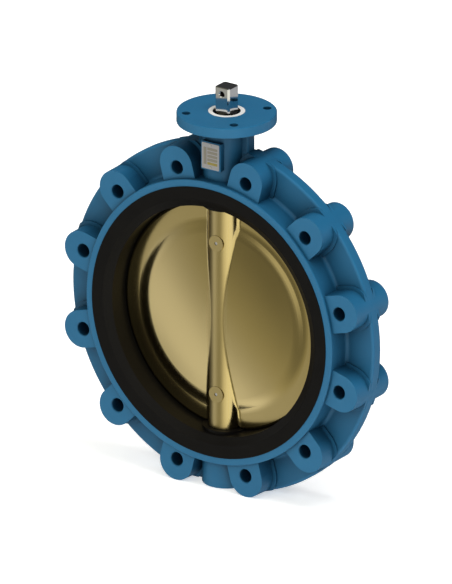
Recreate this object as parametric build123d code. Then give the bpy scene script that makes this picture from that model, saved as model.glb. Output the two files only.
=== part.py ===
from build123d import *
import os
from math import radians, sqrt, tan

os.makedirs("parts", exist_ok=True)

# Lug-type butterfly valve, resilient seated, concentric disc, bare stem.
# Millimetres. X runs across the pipe, Y along it (the front face looks along -Y), Z up the stem.
# The origin is the middle of the bore, on the stem axis.

# ---- Driving dimensions -------------------------------------------------------------------
bore_radius = 150.0
face_to_face = 78.0

# Rubber liner
liner_wall = 10.0
lip_width = 16.6
lip_thickness = 6.0
lip_bevel_width = 10.0
lip_bevel_depth = 6.0
liner_key_depth = 3.0
liner_key_width = 8.0
liner_key_offset = 20.0
pad_margin = 7.1
pad_height = 4.6
pad_gap = 1.0

# Cast body
metal_set_back = 0.6
ring_wall = 9.0
ring_draft = 3.4
web_thickness = 17.0
web_edge_round = 3.5
cast_fillet = 5.0
cast_round = 1.5
bolt_margin = 14.4
lug_count = 12
lug_hole_radius = 8.75
lug_hole_chamfer = 1.0
lug_set_back = 4.8
lug_radius = 24.3
lug_outset = 3.5
lug_draft = 1.5
skirt_set_back = 0.3

# Neck, top flange and bottom boss
neck_wall = 12.5
neck_root_depth = 10.0
rib_reach = 8.0
rib_step = 0.5
flange_radius = 62.5
flange_thickness = 14.0
flange_rise = 41.2
flange_bolt_radius = 51.0
flange_hole_radius = 5.5
flange_hole_count = 4
boss_wall = 13.2
foot_set_up = 7.0

# Stem and its bearings
stem_radius = 14.0
square_size = 22.0
square_height = 33.4
bush_wall = 3.5
running_clearance = 0.05
free_clearance = 0.3
bush_set_back = 3.0
upper_bush_length = 25.0
lower_bush_length = 34.0
thrust_washer_thickness = 2.0
retainer_thickness = 1.7
retainer_groove_depth = 0.9
retainer_gap = 7.4
collar_wall = 5.5
collar_height = 4.0
end_gap = 1.0
thrust_pad_thickness = 3.0
plug_thickness = 10.0
marker_hole_radius = 3.3
marker_hole_depth = 6.0
marker_hole_sink = 1.2
marker_hole_drop = 8.9
edge_chamfer = 0.8

# Disc
seat_clearance = 0.3
hub_wall = 8.9
hub_fillet = 6.0
hub_rise = 1.9
rim_face_width = 25.7
rim_face_height = 6.6
rim_edge_height = 4.6
rim_land = 4.0
rim_bevel = 1.0
step_width = 12.0
step_slope = 18.0
shoulder_round = 60.0
crease_fillet = 25.0
pin_inset = 49.7
pin_boss_radius = 10.5
pin_boss_rise = 0.5
pin_radius = 6.0
pin_nose_radius = 2.2
pin_nose_length = 7.0
pin_nose_set_back = 0.7
pin_screw_radius = 8.0
pin_screw_length = 7.0
pin_screw_set_back = 0.8
pin_seal_section = 2.0

# Name plate
plate_width = 26.0
plate_height = 34.0
plate_thickness = 0.8
plate_drop = 36.0
pad_border = 1.5
plate_pad_rise = 4.4
rivet_radius = 1.3
rivet_head_height = 0.7

# How far a cut, or the root of a joined piece, runs past the surface it meets
overcut = 1.0

# ---- Sizes worked out from the driving dimensions ------------------------------------------
half_face = face_to_face / 2
liner_outer_radius = bore_radius + liner_wall
lip_radius = liner_outer_radius + lip_width
lip_floor = half_face - lip_thickness

body_face = half_face - metal_set_back
half_web = web_thickness / 2
ring_face_radius = lip_radius + ring_wall
ring_web_radius = ring_face_radius + (body_face - half_web) * tan(radians(ring_draft))
bolt_circle_radius = ring_face_radius + bolt_margin
lug_centre_radius = bolt_circle_radius + lug_outset
web_radius = lug_centre_radius + lug_radius
half_lug = half_face - lug_set_back
lug_pitch = 360 / lug_count

stem_bore_radius = stem_radius + bush_wall
neck_radius = stem_bore_radius + neck_wall
neck_root = liner_outer_radius + neck_root_depth
rib_half_width = neck_radius + rib_reach
rib_thickness = web_thickness - 2 * rib_step
flange_top = web_radius + flange_rise
flange_bottom = flange_top - flange_thickness
boss_radius = stem_bore_radius + boss_wall
boss_bottom = web_radius - foot_set_up
plate_centre_height = flange_bottom - plate_drop
plate_pad_front = neck_radius + plate_pad_rise

collar_outer_radius = stem_bore_radius + collar_wall
collar_bottom = flange_top - collar_height
retainer_bottom = collar_bottom - end_gap - retainer_thickness
washer_bottom = retainer_bottom - free_clearance - thrust_washer_thickness
upper_bush_bottom = washer_bottom - upper_bush_length
seal_section = bush_wall - 4 * running_clearance
seal_room = 2 * bush_wall
middle_bush_top = upper_bush_bottom - seal_room
bush_inner_end = liner_outer_radius + bush_set_back
bush_bore_radius = stem_radius + running_clearance
stem_top = flange_top + square_height
bush_outer_end = bush_inner_end + lower_bush_length
stem_bottom = bush_outer_end + end_gap
thrust_pad_top = stem_bottom + free_clearance
plug_top = thrust_pad_top + thrust_pad_thickness
plug_bottom = plug_top + plug_thickness
plug_middle = -(plug_top + plug_bottom) / 2
plug_seal_section = bush_wall - 2 * running_clearance

hub_radius = stem_radius + hub_wall
pad_radius = hub_radius + pad_margin
pad_level = bore_radius - pad_height
hub_end = pad_level - seat_clearance
disc_edge_radius = bore_radius - seat_clearance
crease_radius = disc_edge_radius - rim_face_width
dome_radius = crease_radius - step_width
dome_height = hub_radius - hub_rise
dome_edge_height = rim_face_height + step_width * tan(radians(step_slope))
pin_height = disc_edge_radius - pin_inset
pin_boss_reach = hub_radius + pin_boss_rise
pin_shoulder = -pin_boss_reach + pin_nose_length
pin_screw_floor = pin_boss_reach - pin_screw_set_back - pin_screw_length


def ring(outer, inner, low, high):
    """A plain ring or sleeve on the stem axis."""
    sleeve = Cylinder(outer, high - low) - Cylinder(inner, high - low)
    return Pos(0, 0, (low + high) / 2) * sleeve


def rod(radius, low, high):
    """A plain rod on the stem axis."""
    return Pos(0, 0, (low + high) / 2) * Cylinder(radius, high - low)


def cross_rod(radius, front, back, height):
    """A plain rod along Y at a height on the stem axis."""
    lying = Rot(90, 0, 0) * Cylinder(radius, back - front)
    return Pos(0, (front + back) / 2, height) * lying


def o_ring(inner, section, height):
    """A round-section ring that just clears the stem."""
    radius = section / 2
    return Pos(0, 0, height) * Torus(inner + radius, radius)


def around_bore(outline):
    """Turn an outline drawn as (radius, distance along the pipe) about the pipe axis."""
    return revolve(outline, Axis.Y)


def front_and_back(points):
    """A closed outline from its front half, mirrored across the middle plane."""
    mirrored = [(x, -y) for x, y in reversed(points)]
    return make_face(Polyline(*points, *mirrored, close=True))


# ---- Body ----------------------------------------------------------------------------------
def ring_and_web():
    """Inner ring with its radial web: one turned shape with cast fillets in the corners."""
    points = [
        (liner_outer_radius, -body_face),
        (ring_face_radius, -body_face),
        (ring_web_radius, -half_web),
        (web_radius, -half_web),
    ]
    outline = front_and_back(points)
    corners = outline.vertices()
    inside = [v for v in corners if abs(v.X - ring_web_radius) < 0.1]
    rim = [v for v in corners if abs(v.X - web_radius) < 0.1]
    lip = [v for v in corners if abs(v.X - ring_face_radius) < 0.1]
    outline = fillet(inside, cast_fillet)
    outline = fillet([outline.vertices().sort_by_distance(v.center())[0] for v in rim], web_edge_round)
    outline = fillet([outline.vertices().sort_by_distance(v.center())[0] for v in lip], cast_round)
    return around_bore(outline)


def lug_outline():
    """End face of a lug: a half round outer end and straight sides into the ring."""
    inner_end = lip_radius + ring_wall / 2
    tab_length = lug_centre_radius - inner_end
    tab = Pos(-tab_length / 2, 0) * Rectangle(tab_length, 2 * lug_radius)
    return Plane.XZ * (Pos(lug_centre_radius, 0) * (Circle(lug_radius) + tab))


def half_lug_solid():
    """The front half of the lug on the +X side, widening from its end face to the middle plane."""
    end_face = Pos(0, -half_lug, 0) * lug_outline()
    return extrude(end_face, -half_lug, taper=-lug_draft)


def lug_skirt():
    """Cast fillet where the front half of a lug runs into the web."""
    wall = lug_radius + (half_lug - half_web) * tan(radians(lug_draft))
    sweep_angle = 90 - lug_draft
    reach = cast_fillet * tan(radians(sweep_angle / 2))
    start_radius = ring_web_radius
    overlap = cast_fillet / 2
    path = Line((start_radius, -half_web, -wall), (lug_centre_radius, -half_web, -wall))
    tip = (lug_centre_radius + wall, -half_web, 0)
    end = (lug_centre_radius, -half_web, wall)
    path += ThreePointArc(path @ 1, tip, end)
    path += Line(end, (start_radius, -half_web, wall))
    plane = Plane(origin=(start_radius, -half_web, -wall), x_dir=(0, 0, -1), z_dir=(1, 0, 0))
    arc = JernArc((reach, 0), (-1, 0), cast_fillet, -sweep_angle)
    top = arc @ 1
    outline = arc + Polyline(
        (top.X, top.Y),
        (-overlap, top.Y),
        (-overlap, -overlap),
        (reach, -overlap),
        (reach, 0),
    )
    within_rim = cross_rod(web_radius - skirt_set_back, -half_lug, 0, 0)
    return sweep(plane * make_face(outline), path) & within_rim


def lug_angles():
    """Turning angles of the lugs about the pipe axis, straddling the stem."""
    return [lug_pitch / 2 + lug_pitch * k for k in range(lug_count)]


def lugs():
    """All the lugs with their fillets, front and back."""
    front = half_lug_solid() + lug_skirt()
    one = front + mirror(front, Plane.XZ)
    return [Rot(0, angle, 0) * one for angle in lug_angles()]


def neck():
    """Neck that carries the stem up to the flange, with a rib on each side."""
    top = flange_bottom + overcut
    column = rod(neck_radius, neck_root, top)
    rib = Box(2 * rib_half_width, rib_thickness, top - neck_root)
    rib = Pos(0, 0, (top + neck_root) / 2) * rib
    edges = rib.edges().filter_by(Axis.Z)
    return column + fillet(edges, web_edge_round)


def plate_pad():
    """Flat pad on the front of the neck that the name plate sits on."""
    depth = plate_pad_front - neck_radius / 2
    width = plate_width + 2 * pad_border
    height = plate_height + 2 * pad_border
    block = Box(width, depth, height)
    block = fillet(block.edges().filter_by(Axis.Y), pad_border)
    return Pos(0, -plate_pad_front + depth / 2, plate_centre_height) * block


def top_flange():
    """Actuator flange with its edges broken."""
    plate = rod(flange_radius, flange_bottom, flange_top)
    edges = plate.edges().filter_by(GeomType.CIRCLE)
    return fillet(edges, cast_round)


def neck_fillet():
    """Cast fillet ring under the top flange."""
    arc = JernArc((neck_radius, flange_bottom - cast_fillet), (0, 1), cast_fillet, -90)
    outline = arc + Polyline(
        (neck_radius + cast_fillet, flange_bottom),
        (neck_radius + cast_fillet, flange_bottom + overcut),
        (neck_radius - overcut, flange_bottom + overcut),
        (neck_radius - overcut, flange_bottom - cast_fillet),
        (neck_radius, flange_bottom - cast_fillet),
    )
    return revolve(Plane.XZ * make_face(outline), Axis.Z)


def bottom_boss():
    """Boss that carries the lower end of the stem, with a rib on each side."""
    height = boss_bottom - neck_root
    column = rod(boss_radius, -boss_bottom, -neck_root)
    edge = column.edges().filter_by(GeomType.CIRCLE).sort_by(Axis.Z)[0]
    column = fillet(edge, cast_round)
    rib = Pos(0, 0, -neck_root - height / 2) * Box(2 * rib_half_width, rib_thickness, height)
    return column + fillet(rib.edges().filter_by(Axis.Z), web_edge_round)


def stem_bores():
    """Everything bored on the stem axis, from the flange down to the bottom boss."""
    through = rod(stem_bore_radius, -boss_bottom - overcut, flange_top + overcut)
    collar_seat = rod(collar_outer_radius, collar_bottom, flange_top + overcut)
    groove_radius = stem_bore_radius + retainer_groove_depth
    groove = rod(groove_radius, -plug_bottom - retainer_thickness, -plug_bottom)
    return through + collar_seat + groove


def lug_holes():
    """Through holes of the lugs, ready for tapping, with a chamfer at each end."""
    hole = cross_rod(lug_hole_radius, -half_lug, half_lug, 0)
    depth = lug_hole_chamfer
    cone = Cone(lug_hole_radius, lug_hole_radius + 2 * depth, 2 * depth)
    hole += Pos(0, -half_lug, 0) * Rot(90, 0, 0) * cone
    hole += Pos(0, half_lug, 0) * Rot(-90, 0, 0) * cone
    return [Rot(0, angle, 0) * Pos(bolt_circle_radius, 0, 0) * hole for angle in lug_angles()]


def flange_holes():
    """Bolt holes of the top flange, straddling the pipe axis."""
    step = 360 / flange_hole_count
    hole = rod(flange_hole_radius, flange_bottom - overcut, flange_top + overcut)
    return [Rot(0, 0, step / 2 + step * k) * Pos(flange_bolt_radius, 0, 0) * hole
            for k in range(flange_hole_count)]


def liner_outline(outer):
    """Half section of the space the liner fills, out to its keys and lips."""
    key_low = liner_key_offset - liner_key_width / 2
    key_high = liner_key_offset + liner_key_width / 2
    key_radius = liner_outer_radius + liner_key_depth
    return [
        (outer, -half_face),
        (lip_radius, -half_face),
        (lip_radius, -lip_floor),
        (liner_outer_radius, -lip_floor),
        (liner_outer_radius, -key_high),
        (key_radius, -key_high),
        (key_radius, -key_low),
        (liner_outer_radius, -key_low),
    ]


def foot_cut():
    """Cuts the web and the lowest lugs flat, level with the bottom boss, so that the valve stands."""
    depth = web_radius - boss_bottom + cast_round
    return Pos(0, 0, -boss_bottom - depth / 2) * Box(2 * web_radius, face_to_face, depth)


def make_body():
    """Cast body, machined for the liner, the stem and all the bolts."""
    wheel = ring_and_web() + lugs()
    casting = wheel + [neck(), plate_pad(), top_flange(), neck_fillet(), bottom_boss()]
    liner_space = around_bore(front_and_back(liner_outline(bore_radius)))
    casting = casting - foot_cut() - liner_space - stem_bores()
    return casting - lug_holes() - flange_holes()


# ---- Liner ---------------------------------------------------------------------------------
def make_seat_liner():
    """Rubber liner: a tube with keys and lips, and a flat pad around each stem hole."""
    bevelled = liner_outline(bore_radius + lip_bevel_width)
    bevel_end = (bore_radius, -half_face + lip_bevel_depth)
    tube = around_bore(front_and_back([bevel_end] + bevelled))
    within_tube = cross_rod(bore_radius + overcut, -lip_floor, lip_floor, 0)
    pads = rod(pad_radius, -liner_outer_radius, liner_outer_radius) - rod(pad_radius, -pad_level, pad_level)
    pads = pads & within_tube
    return tube + pads - rod(stem_radius + 2 * running_clearance, -lip_radius, lip_radius)


# ---- Disc ----------------------------------------------------------------------------------
def disc_blank():
    """Domed plate turned about the pipe axis: dome, soft shoulder, crease, rim face and rim land."""
    drop = dome_height - dome_edge_height
    sphere_radius = (dome_radius ** 2 + drop ** 2) / (2 * drop)
    middle = dome_radius / 2
    rise = sphere_radius - sqrt(sphere_radius ** 2 - middle ** 2)
    dome_end = (dome_radius, -dome_edge_height)
    crease = (crease_radius, -rim_face_height)
    front = ThreePointArc((0, -dome_height), (middle, -dome_height + rise), dome_end)
    edge = Polyline(
        dome_end,
        crease,
        (disc_edge_radius - rim_land, -rim_edge_height - rim_bevel),
        (disc_edge_radius + overcut, -rim_edge_height + rim_bevel),
        (disc_edge_radius + overcut, 0),
        (0, 0),
        (0, -dome_height),
    )
    outline = make_face(front + edge)
    outline = fillet(outline.vertices().sort_by_distance((*dome_end, 0))[0], shoulder_round)
    outline = fillet(outline.vertices().sort_by_distance((*crease, 0))[0], crease_fillet)
    half = revolve(outline, Axis.Y)
    return half + mirror(half, Plane.XZ)


def swing_envelope():
    """The space that the disc may fill at every angle: a ball with flats at the stem ends."""
    ball = Sphere(disc_edge_radius)
    flats = rod(disc_edge_radius, -hub_end, hub_end)
    belt_radius = pad_radius + pad_gap
    far = sqrt(disc_edge_radius ** 2 - belt_radius ** 2)
    belt = rod(disc_edge_radius, -far, far) - rod(belt_radius, -far, far)
    return ball & (flats + belt)


def pin_bosses():
    """Round bosses through the hub that carry the two disc pins."""
    return [cross_rod(pin_boss_radius, -pin_boss_reach, pin_boss_reach, side * pin_height)
            for side in (-1, 1)]


def make_disc():
    """Disc with its hub blended in, cut to its swing, and bored for the stem and the pins."""
    blank = disc_blank()
    hub = rod(hub_radius, -disc_edge_radius, disc_edge_radius)
    disc = blank + hub
    seams = [edge for edge in disc.edges()
             if abs(edge.center().X) < hub_radius and edge.length > 2 * pin_height]
    disc = fillet(seams, hub_fillet) & swing_envelope()
    disc = disc + pin_bosses() - rod(stem_radius, -disc_edge_radius, disc_edge_radius)
    for side in (-1, 1):
        disc -= pin_space(side * pin_height)
    return disc


def pin_space(height):
    """Bore for a disc pin: a small window at the front, a reamed bore, a threaded mouth behind."""
    window = cross_rod(pin_nose_radius, -pin_boss_reach - overcut, pin_shoulder, height)
    bore = cross_rod(pin_radius, pin_shoulder, pin_boss_reach, height)
    mouth = cross_rod(pin_screw_radius, pin_screw_floor, pin_boss_reach + overcut, height)
    return window + bore + mouth


# ---- Stem ----------------------------------------------------------------------------------
def make_stem():
    """Round stem with a drive square on top, a groove for its retainer and two cross holes."""
    shaft = rod(stem_radius, -stem_bottom, flange_top)
    bottom_edge = shaft.edges().filter_by(GeomType.CIRCLE).sort_by(Axis.Z)[0]
    shaft = chamfer(bottom_edge, edge_chamfer)
    drive = Pos(0, 0, flange_top + square_height / 2) * Box(square_size, square_size, square_height)
    drive = drive & rod(stem_radius, flange_top, stem_top)
    top_face = drive.faces().sort_by(Axis.Z)[-1]
    drive = chamfer(top_face.edges(), edge_chamfer)
    groove = ring(stem_radius + overcut, stem_radius - retainer_groove_depth,
                  retainer_bottom, retainer_bottom + retainer_thickness)
    stem = shaft + drive - groove - marker_hole()
    reach = stem_radius + overcut
    for side in (-1, 1):
        stem -= cross_rod(pin_radius, -reach, reach, side * pin_height)
    return stem


def marker_hole():
    """Countersunk blind hole that marks the front of the drive square."""
    face = -square_size / 2
    height = stem_top - marker_hole_drop
    hole = cross_rod(marker_hole_radius, face, face + marker_hole_depth, height)
    mouth = marker_hole_radius + 2 * marker_hole_sink
    sink = Rot(90, 0, 0) * Cone(marker_hole_radius, mouth, 2 * marker_hole_sink)
    return hole + Pos(0, face, height) * sink


def make_pin(height):
    """Disc pin: a plain body through hub and stem with a thin nose that shows at the front."""
    nose = cross_rod(pin_nose_radius, -pin_boss_reach + pin_nose_set_back, pin_shoulder, height)
    body_end = pin_screw_floor - pin_seal_section
    return nose + cross_rod(pin_radius, pin_shoulder, body_end, height)


def make_pin_seal(height):
    """O-ring squeezed between the pin and its set screw."""
    radius = pin_seal_section / 2
    loop = Rot(90, 0, 0) * Torus(pin_radius - radius, radius)
    return Pos(0, pin_screw_floor - radius, height) * loop


def make_pin_screw(height):
    """Set screw with a hexagon socket that closes the rear end of a pin bore."""
    end = pin_boss_reach - pin_screw_set_back
    screw = cross_rod(pin_screw_radius, pin_screw_floor, end, height)
    socket = extrude(RegularPolygon(pin_radius / 2, 6), pin_screw_length / 2)
    return screw - Pos(0, end, height) * Rot(90, 0, 0) * socket


# ---- Bearings, seals and retainers ---------------------------------------------------------
def make_thrust_washer():
    """Washer under the retainer that keeps the stem from being pushed out."""
    outer = stem_bore_radius - running_clearance
    return ring(outer, bush_bore_radius, washer_bottom, washer_bottom + thrust_washer_thickness)


def make_stem_retainer():
    """Open retaining ring that snaps into the groove of the stem."""
    outer = stem_bore_radius - 2 * free_clearance
    inner = stem_radius - retainer_groove_depth
    top = retainer_bottom + retainer_thickness
    return ring(outer, inner, retainer_bottom, top) - ring_gap(retainer_bottom, top)


def ring_gap(low, high):
    """The opening at the back of a retaining ring."""
    opening = Box(retainer_gap, 2 * stem_bore_radius, high - low + 2 * overcut)
    return Pos(0, stem_bore_radius, (low + high) / 2) * opening


def make_bottom_plug():
    """Closing plug of the bottom bore, with a groove for its O-ring."""
    plug = rod(stem_bore_radius, -plug_bottom, -plug_top)
    half = plug_seal_section / 2
    floor = stem_bore_radius - plug_seal_section
    return plug - ring(stem_bore_radius + overcut, floor, plug_middle - half, plug_middle + half)


def make_bottom_retainer():
    """Open retaining ring that holds the plug in the bottom boss."""
    outer = stem_bore_radius + retainer_groove_depth
    inner = stem_bore_radius - 3 * retainer_groove_depth
    low = -plug_bottom - retainer_thickness
    return ring(outer, inner, low, -plug_bottom) - ring_gap(low, -plug_bottom)


# ---- Name plate ----------------------------------------------------------------------------
def make_name_plate():
    """Thin plate with rounded corners, seated on its pad."""
    plate = Box(plate_width, plate_thickness, plate_height)
    plate = fillet(plate.edges().filter_by(Axis.Y), pad_border)
    return Pos(0, -plate_pad_front - plate_thickness / 2, plate_centre_height) * plate


def make_name_plate_rivets():
    """Two dome-headed drive rivets, at the top and the bottom of the plate."""
    front = -plate_pad_front - plate_thickness
    offset = plate_height / 2 - 2 * rivet_radius
    heads = []
    for side in (-1, 1):
        height = plate_centre_height + side * offset
        head = cross_rod(rivet_radius, front - rivet_head_height, front, height)
        edge = head.edges().filter_by(GeomType.CIRCLE).sort_by(Axis.Y)[0]
        heads.append(fillet(edge, rivet_head_height / 2))
    return heads


# ---- Write each piece to its own file -------------------------------------------------------
lower_seal_height = middle_bush_top + seal_section / 2
upper_seal_height = upper_bush_bottom - seal_section / 2

nodes = {
    "body": make_body(),
    "seat_liner": make_seat_liner(),
    "disc": make_disc(),
    "stem": make_stem(),
    "upper_disc_pin": make_pin(pin_height),
    "lower_disc_pin": make_pin(-pin_height),
    "upper_pin_seal": make_pin_seal(pin_height),
    "lower_pin_seal": make_pin_seal(-pin_height),
    "upper_pin_screw": make_pin_screw(pin_height),
    "lower_pin_screw": make_pin_screw(-pin_height),
    "upper_bush": ring(stem_bore_radius, bush_bore_radius, upper_bush_bottom, washer_bottom),
    "middle_bush": ring(stem_bore_radius, bush_bore_radius, bush_inner_end, middle_bush_top),
    "lower_bush": ring(stem_bore_radius, bush_bore_radius, -bush_outer_end, -bush_inner_end),
    "upper_stem_seal": o_ring(bush_bore_radius, seal_section, upper_seal_height),
    "lower_stem_seal": o_ring(bush_bore_radius, seal_section, lower_seal_height),
    "thrust_washer": make_thrust_washer(),
    "stem_retainer": make_stem_retainer(),
    "stem_collar": ring(collar_outer_radius, stem_bore_radius, collar_bottom, flange_top),
    "thrust_pad": rod(stem_bore_radius - running_clearance, -plug_top, -thrust_pad_top),
    "bottom_plug": make_bottom_plug(),
    "bottom_plug_seal": o_ring(stem_bore_radius - plug_seal_section, plug_seal_section, plug_middle),
    "bottom_retainer": make_bottom_retainer(),
    "name_plate": make_name_plate(),
    "name_plate_rivets": Compound(children=make_name_plate_rivets()),
}

for name, piece in nodes.items():
    export_step(piece, "parts/" + name + ".step")
    print(name, "volume", round(piece.volume / 1000, 1), "cm3")
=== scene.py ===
# %% [markdown]
# # Lug-type butterfly valve
#
# A butterfly valve closes a pipe with a disc that turns a quarter turn on a stem. This lesson takes
# the finished engineering model as a fixed frame and gives each part the finish of the real one:
# coated cast iron, moulded rubber, polished bronze and bright stainless steel.
#
# ## Load the frame
#
# The engineering model could be copied into the scene by hand, but then it could drift from the
# drawing. Loading it straight from the file keeps every part exactly where it was designed.

# %% Load the frame
import math

import bpy
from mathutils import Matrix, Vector


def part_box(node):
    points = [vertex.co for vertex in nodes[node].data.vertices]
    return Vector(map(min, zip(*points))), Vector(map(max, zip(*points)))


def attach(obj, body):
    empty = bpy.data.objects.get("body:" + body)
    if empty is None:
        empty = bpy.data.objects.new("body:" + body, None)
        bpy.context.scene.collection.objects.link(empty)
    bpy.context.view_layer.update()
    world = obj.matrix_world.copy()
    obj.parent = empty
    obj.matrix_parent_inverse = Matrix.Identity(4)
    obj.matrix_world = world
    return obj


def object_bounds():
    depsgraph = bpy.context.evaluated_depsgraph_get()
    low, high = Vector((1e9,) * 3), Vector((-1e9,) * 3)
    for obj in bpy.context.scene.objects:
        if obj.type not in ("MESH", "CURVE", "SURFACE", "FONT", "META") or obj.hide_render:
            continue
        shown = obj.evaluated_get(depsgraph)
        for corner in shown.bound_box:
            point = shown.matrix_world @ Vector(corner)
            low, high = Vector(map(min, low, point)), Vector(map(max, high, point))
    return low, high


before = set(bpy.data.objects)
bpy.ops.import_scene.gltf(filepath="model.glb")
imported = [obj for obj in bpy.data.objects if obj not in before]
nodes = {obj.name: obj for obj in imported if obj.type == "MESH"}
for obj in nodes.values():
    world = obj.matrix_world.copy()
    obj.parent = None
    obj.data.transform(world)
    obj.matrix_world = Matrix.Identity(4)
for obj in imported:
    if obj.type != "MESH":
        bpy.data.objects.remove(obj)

cad_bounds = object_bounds()
print("parts in the frame:", len(nodes))

# %% [markdown]
# ## Colours
#
# Blender's colours are linear, while most people pick colours as they look on a screen. One helper
# turns a screen colour into a linear one, so the values below read as ordinary colours.

# %% Colour helper


def colour(red, green, blue):
    """A colour as it looks on screen, from 0 to 255, turned into linear RGBA."""
    channels = []
    for value in (red, green, blue):
        share = value / 255
        low = share / 12.92
        high = ((share + 0.055) / 1.055) ** 2.4
        channels.append(low if share <= 0.04045 else high)
    return (*channels, 1.0)


print("mid grey in linear light:", round(colour(128, 128, 128)[0], 3))

# %% [markdown]
# ## Node helpers
#
# Every material here needs the same few steps: a shader, a position on the part, a value spread over
# a range, one colour laid over another. Writing each step once keeps the materials short to read.

# %% Material and position helpers


def new_material(name):
    """An empty node material with a Principled shader, returned with its tree and shader."""
    material = bpy.data.materials.new(name)
    material.use_nodes = True
    tree = material.node_tree
    shader = tree.nodes["Principled BSDF"]
    return material, tree, shader


def object_position(tree):
    """Object coordinates in metres."""
    return tree.nodes.new("ShaderNodeTexCoord").outputs["Object"]


# %% Value and colour helpers


def connect(tree, value, socket):
    """Feeds a socket from a node output, or sets it to a fixed number or colour."""
    if isinstance(value, bpy.types.NodeSocket):
        tree.links.new(value, socket)
    else:
        socket.default_value = value


def spread(tree, value, low, high, start=0.0, end=1.0):
    """Maps a value between start and end onto the range from low to high."""
    node = tree.nodes.new("ShaderNodeMapRange")
    node.inputs["From Min"].default_value = start
    node.inputs["From Max"].default_value = end
    node.inputs["To Min"].default_value = low
    node.inputs["To Max"].default_value = high
    tree.links.new(value, node.inputs["Value"])
    return node.outputs["Result"]


def calculate(tree, operation, first, second=0.0):
    """One step of arithmetic; either side may be a number or a node output."""
    node = tree.nodes.new("ShaderNodeMath")
    node.operation = operation
    connect(tree, first, node.inputs[0])
    connect(tree, second, node.inputs[1])
    return node.outputs["Value"]


def layer(tree, factor, under, over):
    """Lays one colour over another; either may be a fixed colour or a node output."""
    node = tree.nodes.new("ShaderNodeMix")
    node.data_type = "RGBA"
    tree.links.new(factor, node.inputs["Factor"])
    connect(tree, under, node.inputs["A"])
    connect(tree, over, node.inputs["B"])
    return node.outputs["Result"]


# %% Relief and pocket helpers


def bump(tree, height, depth):
    """A bump whose full swing is depth metres."""
    node = tree.nodes.new("ShaderNodeBump")
    node.inputs["Distance"].default_value = depth
    node.inputs["Strength"].default_value = 1.0
    tree.links.new(height, node.inputs["Height"])
    return node.outputs["Normal"]


def openness(tree, reach, own_part_only=False):
    """How open the surface is within reach: 0 in a tight pocket, 1 on an open face."""
    node = tree.nodes.new("ShaderNodeAmbientOcclusion")
    node.inputs["Distance"].default_value = reach
    node.only_local = own_part_only
    return node.outputs["AO"]


# %% [markdown]
# ## A shared effect: fine surface life
#
# No real surface is perfectly even. Two sizes of noise give a broad drift in tone and a fine grain.
# The pair is built once as a node group, and each material places it with its own sizes.

# %% Surface life group


def build_surface_life():
    """Node group: broad drift, fine grain, both from 0 to 1, from a position and two sizes."""
    group = bpy.data.node_groups.new("surface_life", "ShaderNodeTree")
    interface = group.interface
    interface.new_socket("Position", in_out="INPUT", socket_type="NodeSocketVector")
    interface.new_socket("Drift scale", in_out="INPUT", socket_type="NodeSocketFloat")
    interface.new_socket("Grain scale", in_out="INPUT", socket_type="NodeSocketFloat")
    interface.new_socket("Drift", in_out="OUTPUT", socket_type="NodeSocketFloat")
    interface.new_socket("Grain", in_out="OUTPUT", socket_type="NodeSocketFloat")
    inside = group.nodes.new("NodeGroupInput")
    outside = group.nodes.new("NodeGroupOutput")
    for name in ("Drift", "Grain"):
        texture = group.nodes.new("ShaderNodeTexNoise")
        texture.inputs["Detail"].default_value = 4.0
        group.links.new(inside.outputs["Position"], texture.inputs["Vector"])
        group.links.new(inside.outputs[name + " scale"], texture.inputs["Scale"])
        group.links.new(texture.outputs["Fac"], outside.inputs[name])
    return group


surface_life = build_surface_life()
print("shared effect:", surface_life.name)

# %% Place the shared effect


def add_life(tree, drift_size, grain_size):
    """Places the shared effect in a material and returns its drift and grain."""
    node = tree.nodes.new("ShaderNodeGroup")
    node.node_tree = surface_life
    node.inputs["Drift scale"].default_value = 1 / drift_size
    node.inputs["Grain scale"].default_value = 1 / grain_size
    tree.links.new(object_position(tree), node.inputs["Position"])
    return node.outputs["Drift"], node.outputs["Grain"]


# %% [markdown]
# ## Blue epoxy coating
#
# The body is cast iron under a baked epoxy coat. The coat hides the sand grain, so the surface is
# smooth with a slight orange peel, a satin gloss and almost no change in colour.
#
# The pockets between the lugs get a painted shade: the coat colour is darkened towards deep blue where
# the surface is closed in, standing in for the shade that falls there. Painting that by hand on every
# pocket would be slow; measuring how open the surface is finds all of them at once.

# %% Coated iron

# Reach of the painted shade in the pockets.
pocket_shade_reach = 0.075
peel_size = 0.0022
peel_depth = 0.00006


def coated_iron():
    """Satin blue epoxy with a slight orange peel and a painted shade in the pockets."""
    material, tree, shader = new_material("blue_epoxy")
    drift, grain = add_life(tree, 0.05, peel_size)
    open_coat = layer(tree, drift, colour(30, 92, 130), colour(36, 100, 138))
    # Painted shade: the coat is darkened towards deep blue where the surface is closed in.
    pockets = spread(tree, openness(tree, pocket_shade_reach, own_part_only=True), -0.25, 1.0)
    tree.links.new(layer(tree, pockets, colour(5, 32, 52), open_coat), shader.inputs["Base Color"])
    tree.links.new(spread(tree, drift, 0.42, 0.52), shader.inputs["Roughness"])
    tree.links.new(bump(tree, grain, peel_depth), shader.inputs["Normal"])
    shader.inputs["Specular IOR Level"].default_value = 0.25
    return material


# %% [markdown]
# ## Moulded rubber
#
# The liner and the small seals are black rubber from a polished mould: very dark, fairly smooth and
# only weakly reflecting, with a trace of the powder that keeps it from sticking.

# %% Rubber


def moulded_rubber():
    """Black rubber with a soft, weak sheen."""
    material, tree, shader = new_material("liner_rubber")
    drift, grain = add_life(tree, 0.03, 0.0009)
    tone = layer(tree, drift, colour(11, 10, 10), colour(17, 16, 15))
    tree.links.new(tone, shader.inputs["Base Color"])
    tree.links.new(spread(tree, drift, 0.36, 0.46), shader.inputs["Roughness"])
    tree.links.new(bump(tree, grain, 0.00002), shader.inputs["Normal"])
    shader.inputs["Specular IOR Level"].default_value = 0.1
    return material
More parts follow.
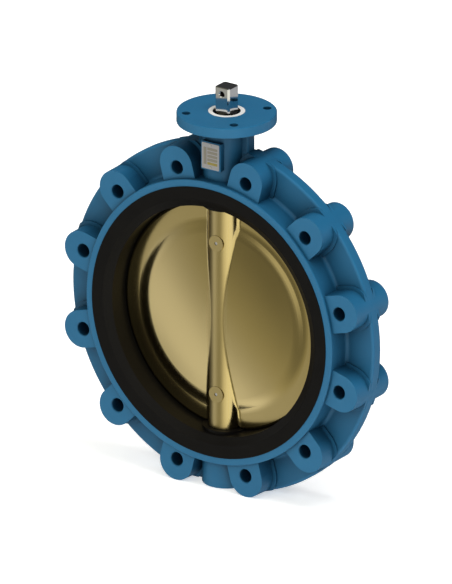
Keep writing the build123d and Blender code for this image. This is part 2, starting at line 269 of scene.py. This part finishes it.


# %% [markdown]
# ## Metals
#
# All the bare metals share one recipe: a tint, a gloss that drifts a little over the part and a very
# fine grain. Small recesses, such as drilled holes, get a painted shade: their colour is darkened where
# the surface is closed in.

# %% Metal recipe

drift_shade = 0.94
# Reach and limits of the painted shade in small recesses.
recess_shade_reach = 0.006
recess_shade_closed = 0.35
recess_shade_open = 0.8


def bare_metal(name, tint, low, high, grain_depth):
    """A bare metal with a drifting gloss, a trace of grain and a painted shade in small recesses."""
    material, tree, shader = new_material(name)
    drift, grain = add_life(tree, 0.06, 0.0008)
    darker = tuple(drift_shade * channel for channel in tint[:3]) + (1.0,)
    shade = layer(tree, drift, darker, tint)
    # Painted shade: small recesses are darkened towards dark grey where the surface is closed in.
    recess = spread(tree, openness(tree, recess_shade_reach), 0.0, 1.0, recess_shade_closed, recess_shade_open)
    tree.links.new(layer(tree, recess, colour(38, 34, 32), shade), shader.inputs["Base Color"])
    tree.links.new(spread(tree, drift, low, high), shader.inputs["Roughness"])
    tree.links.new(bump(tree, grain, grain_depth), shader.inputs["Normal"])
    shader.inputs["Metallic"].default_value = 1.0
    return material


# %% [markdown]
# ## Bronze disc
#
# The disc is one bronze casting. Its domes are polished, while the hub along the stem keeps the
# softer finish of a turned bar. One material covers both: the gloss changes with the distance from
# the stem axis, so there is no seam to line up.

# %% Bronze disc

turned_roughness = 0.2
blend_start = 0.4
blend_end = 0.6


def disc_bronze(stem_width):
    """Polished bronze with a softer turned finish within reach of the stem."""
    material = bare_metal("disc_bronze", colour(206, 187, 132), 0.14, 0.2, 0.000002)
    tree = material.node_tree
    roughness = tree.nodes["Principled BSDF"].inputs["Roughness"]
    polish = roughness.links[0].from_socket
    axes = tree.nodes.new("ShaderNodeSeparateXYZ")
    tree.links.new(object_position(tree), axes.inputs["Vector"])
    aside = calculate(tree, "ABSOLUTE", axes.outputs["X"])
    extra = spread(tree, aside, turned_roughness, 0.0, blend_start * stem_width, blend_end * stem_width)
    tree.links.new(calculate(tree, "ADD", polish, extra), roughness)
    return material


# %% [markdown]
# ## Give every part its finish
#
# Most small parts follow from their names: every seal is rubber, every pin, screw and plug is bright
# steel, every bush and washer is bearing bronze. The rest are listed one by one.

# %% Make the finishes

stem_low, stem_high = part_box("stem")
bronze = disc_bronze(stem_high[0] - stem_low[0])
stainless = bare_metal("stem_steel", colour(205, 206, 208), 0.07, 0.12, 0.000001)
bright_steel = bare_metal("bright_steel", colour(225, 225, 226), 0.25, 0.32, 0.000003)
dark_steel = bare_metal("spring_steel", colour(88, 84, 82), 0.28, 0.38, 0.000003)
bearing = bare_metal("bearing_bronze", colour(160, 128, 84), 0.35, 0.45, 0.000004)
aluminium = bare_metal("plate_aluminium", colour(214, 214, 222), 0.45, 0.55, 0.000003)
zinc = bare_metal("matt_zinc", colour(236, 236, 234), 0.5, 0.6, 0.000003)
zinc.node_tree.nodes["Principled BSDF"].inputs["Metallic"].default_value = 0.2
epoxy = coated_iron()
rubber = moulded_rubber()
print("finishes made:", len(bpy.data.materials))

# %% Assign the finishes

finishes = {
    "body": epoxy,
    "seat_liner": rubber,
    "disc": bronze,
    "stem": stainless,
    "stem_collar": zinc,
    "stem_retainer": dark_steel,
    "bottom_retainer": dark_steel,
    "name_plate": aluminium,
    "name_plate_rivets": bright_steel,
}
families = {
    ("_seal",): rubber,
    ("_pin", "_screw", "_plug"): bright_steel,
    ("_bush", "_washer", "_pad"): bearing,
}
for endings, finish in families.items():
    finishes.update({name: finish for name in nodes if name.endswith(endings)})
for name, finish in finishes.items():
    for slot in nodes[name].material_slots:
        slot.material = finish
print("finished parts:", len(finishes), "of", len(nodes))

# %% [markdown]
# ## Stamped fields of the name plate
#
# A real name plate carries a maker's text. Here the fields stay blank: one narrow column and five
# rows, each a thin raised block, the lowest row in yellow. They are cubes sized from the plate and
# joined into one piece. A picture could do the same, but it would blur when seen from close by.

# %% Block and join helpers


def block(low, high, finish):
    """A closed box between two corners, with its size and place applied to the mesh."""
    middle = [(a + b) / 2 for a, b in zip(low, high)]
    bpy.ops.object.select_all(action="DESELECT")
    bpy.ops.mesh.primitive_cube_add(size=1, location=middle)
    piece = bpy.context.object
    piece.scale = [b - a for a, b in zip(low, high)]
    bpy.ops.object.transform_apply(location=True, rotation=True, scale=True)
    piece.data.materials.append(finish)
    return piece


def join(pieces, name):
    """Joins pieces into the first one and names the result."""
    bpy.ops.object.select_all(action="DESELECT")
    for piece in pieces:
        piece.select_set(True)
    bpy.context.view_layer.objects.active = pieces[0]
    bpy.ops.object.join()
    pieces[0].name = name
    return pieces[0]


# %% Name plate fields

field_rise = 0.00015
field_sink = 0.0001
side_margin = 0.0028
end_margin = 0.0058
column_width = 0.004
row_gap = 0.0016
row_count = 5
block_faces = 6


def plate_fields():
    """Blank column and rows, each a thin block standing just proud of the plate."""
    silver = bare_metal("field_silver", colour(190, 186, 178), 0.5, 0.6, 0.000003)
    yellow = bare_metal("field_yellow", colour(205, 192, 120), 0.5, 0.6, 0.000003)
    low, high = (Vector(corner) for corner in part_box("name_plate"))
    front = low.y - field_rise
    back = low.y + field_sink
    left = low.x + side_margin
    right = high.x - side_margin
    bottom = low.z + end_margin
    top = high.z - end_margin
    rows_left = left + column_width + row_gap
    row_pitch = (top - bottom + row_gap) / row_count
    pieces = [block((left, front, bottom), (left + column_width, back, top), silver)]
    for index in range(row_count):
        start = bottom + index * row_pitch
        finish = yellow if index == 0 else silver
        end = start + row_pitch - row_gap
        pieces.append(block((rows_left, front, start), (right, back, end), finish))
    return join(pieces, "plate_fields")


fields = plate_fields()
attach(fields, "body_assembly")
print("plate fields:", len(fields.data.polygons) // block_faces, "blocks")

# %% [markdown]
# ## Floor
#
# The valve stands on the flat bottom of its lugs and boss, on a plain white floor. The floor glows a
# little, so that it stays white right to the edge of the picture and only a faint shadow shows.

# %% Floor

floor_width = 8
floor_glow = 0.5


def white_floor(height):
    """A wide white plane that takes a faint shadow and isn't seen in reflections."""
    bpy.ops.object.select_all(action="DESELECT")
    bpy.ops.mesh.primitive_plane_add(size=floor_width, location=(0, 0, height))
    plane = bpy.context.object
    plane.name = "floor"
    material, tree, shader = new_material("floor_white")
    shader.inputs["Base Color"].default_value = colour(246, 246, 246)
    shader.inputs["Roughness"].default_value = 0.9
    shader.inputs["Emission Color"].default_value = (1.0, 1.0, 1.0, 1.0)
    shader.inputs["Emission Strength"].default_value = floor_glow
    plane.data.materials.append(material)
    plane.visible_glossy = False
    return plane


floor = white_floor(cad_bounds[0][2])
print("floor height:", round(floor.location.z, 4), "m")

# %% [markdown]
# ## Studio
#
# Polished metal shows the room more than itself, so the room is designed: a bright wide panel to the
# right of the disc, a narrow one to the left, a dim warm gap between them and dark corners outside.
# The panels lean, which gives the domes their slanting gradient. A lamp in front of each panel could
# do it too, but one curve of light around the room is easier to tune.

# %% Studio settings

# Direction round the room in degrees (0 is straight out of the front face, + to the right),
# brightness, and warmth from 0 to 1.
panels = [
    (-180, 0.05, 0), (-90, 0.06, 0), (-67, 0.08, 1), (-57, 0.9, 0), (-46, 0.85, 0), (-37, 0.52, 0.3),
    (-28, 0.42, 1), (-12, 0.22, 1), (4, 0.2, 1), (16, 1.25, 0.6), (66, 1.25, 0.4), (82, 0.04, 0),
    (118, 0.04, 0), (132, 0.7, 0), (150, 0.5, 0), (180, 0.05, 0),
]
# Height of the direction from -1 (down) to 1 (up), brightness, warmth.
heights = [(-1, 1.5, 0), (-0.6, 1.1, 0), (-0.36, 1, 0), (0, 0.75, 0), (0.15, 0.9, 0), (1, 0.95, 0)]
level_height = 0.36
panel_lean = 45

# %% Curve of light


def glow_ramp(tree, value, low, high, stops):
    """A curve of light: place, level and warmth, read between low and high."""
    ramp = tree.nodes.new("ShaderNodeValToRGB")
    elements = ramp.color_ramp.elements
    while len(elements) < len(stops):
        elements.new(0.5)
    for element, (place, level, warmth) in zip(elements, stops):
        element.position = (place - low) / (high - low)
        element.color = (level, level * (1 - 0.06 * warmth), level * (1 - 0.35 * warmth), 1)
    tree.links.new(spread(tree, value, 0.0, 1.0, low, high), ramp.inputs["Fac"])
    return ramp.outputs["Color"]


# %% World


def studio_world():
    """Leaning soft panels, seen by reflections and as fill light; the backdrop itself is white."""
    world = bpy.data.worlds.new("studio")
    world.use_nodes = True
    tree = world.node_tree
    background = tree.nodes["Background"]
    parts = tree.nodes.new("ShaderNodeSeparateXYZ")
    direction = tree.nodes.new("ShaderNodeTexCoord").outputs["Generated"]
    tree.links.new(direction, parts.inputs["Vector"])
    ahead = calculate(tree, "MULTIPLY", parts.outputs["Y"], -1.0)
    turn = calculate(tree, "ARCTAN2", parts.outputs["X"], ahead)
    degrees = calculate(tree, "MULTIPLY", turn, 180 / math.pi)
    lift = calculate(tree, "ADD", parts.outputs["Z"], level_height)
    lean = calculate(tree, "MULTIPLY", lift, panel_lean)
    around = glow_ramp(tree, calculate(tree, "ADD", degrees, lean), -180, 180, panels)
    height = glow_ramp(tree, parts.outputs["Z"], -1, 1, heights)
    seen = tree.nodes.new("ShaderNodeLightPath").outputs["Is Camera Ray"]
    white = (1.0, 1.0, 1.0, 1.0)
    tree.links.new(layer(tree, seen, around, white), background.inputs["Color"])
    tree.links.new(layer(tree, seen, height, white), background.inputs["Strength"])
    bpy.context.scene.world = world
    return world


print("world:", studio_world().name, "with", len(panels), "stops of light")

# %% [markdown]
# ## Lamps
#
# Three large soft panels shape the castings without a hard edge: one from the front right, one from
# above and a weaker one behind, so that the back isn't lost in the dark. They aren't seen in
# reflections, because the room already gives the metals theirs.

# %% Lamps


def soft_panel(name, place, power, size=1.6):
    """A square soft light aimed at the middle of the valve."""
    light = bpy.data.lights.new(name, "AREA")
    light.size = size
    light.energy = power
    lamp = bpy.data.objects.new(name, light)
    lamp.location = place
    lamp.rotation_euler = (-Vector(place)).to_track_quat("-Z", "Y").to_euler()
    lamp.visible_glossy = False
    bpy.context.scene.collection.objects.link(lamp)
    return lamp


lamps = [
    soft_panel("key_light", (1.2, -2.0, 1.0), 18),
    soft_panel("top_light", (0.9, -0.2, 2.6), 50),
    soft_panel("back_light", (-1.4, 2.0, 1.3), 16),
]
print("lamps:", len(lamps))

# %% [markdown]
# ## Camera
#
# The valve is seen from its front right and a little above, with parallel lines kept parallel. That
# view shows the bore, the lugs and the square of the stem together, and it bends no edges.

# %% Camera

view_azimuth = math.radians(34.97)
view_elevation = math.radians(20.85)
view_height = 0.7232
view_shift_right = -0.00087
view_shift_up = 0.02675
view_distance = 3


def studio_camera(azimuth, elevation, picture_height, shift_right, shift_up):
    """A parallel camera that looks at a point given across and up the picture from the origin."""
    right = Vector((math.cos(azimuth), math.sin(azimuth), 0))
    toward_viewer = Vector((
        math.sin(azimuth) * math.cos(elevation),
        -math.cos(azimuth) * math.cos(elevation),
        math.sin(elevation),
    ))
    up = toward_viewer.cross(right)
    aim = shift_right * right + shift_up * up
    data = bpy.data.cameras.new("camera")
    data.type = "ORTHO"
    data.ortho_scale = picture_height
    camera = bpy.data.objects.new("camera", data)
    camera.location = aim + view_distance * toward_viewer
    camera.rotation_euler = toward_viewer.to_track_quat("Z", "Y").to_euler()
    bpy.context.scene.collection.objects.link(camera)
    return camera


scene = bpy.context.scene
scene.camera = studio_camera(view_azimuth, view_elevation, view_height, view_shift_right, view_shift_up)
scene.view_settings.view_transform = "Standard"
print("camera height:", round(scene.camera.location.z, 3), "m")
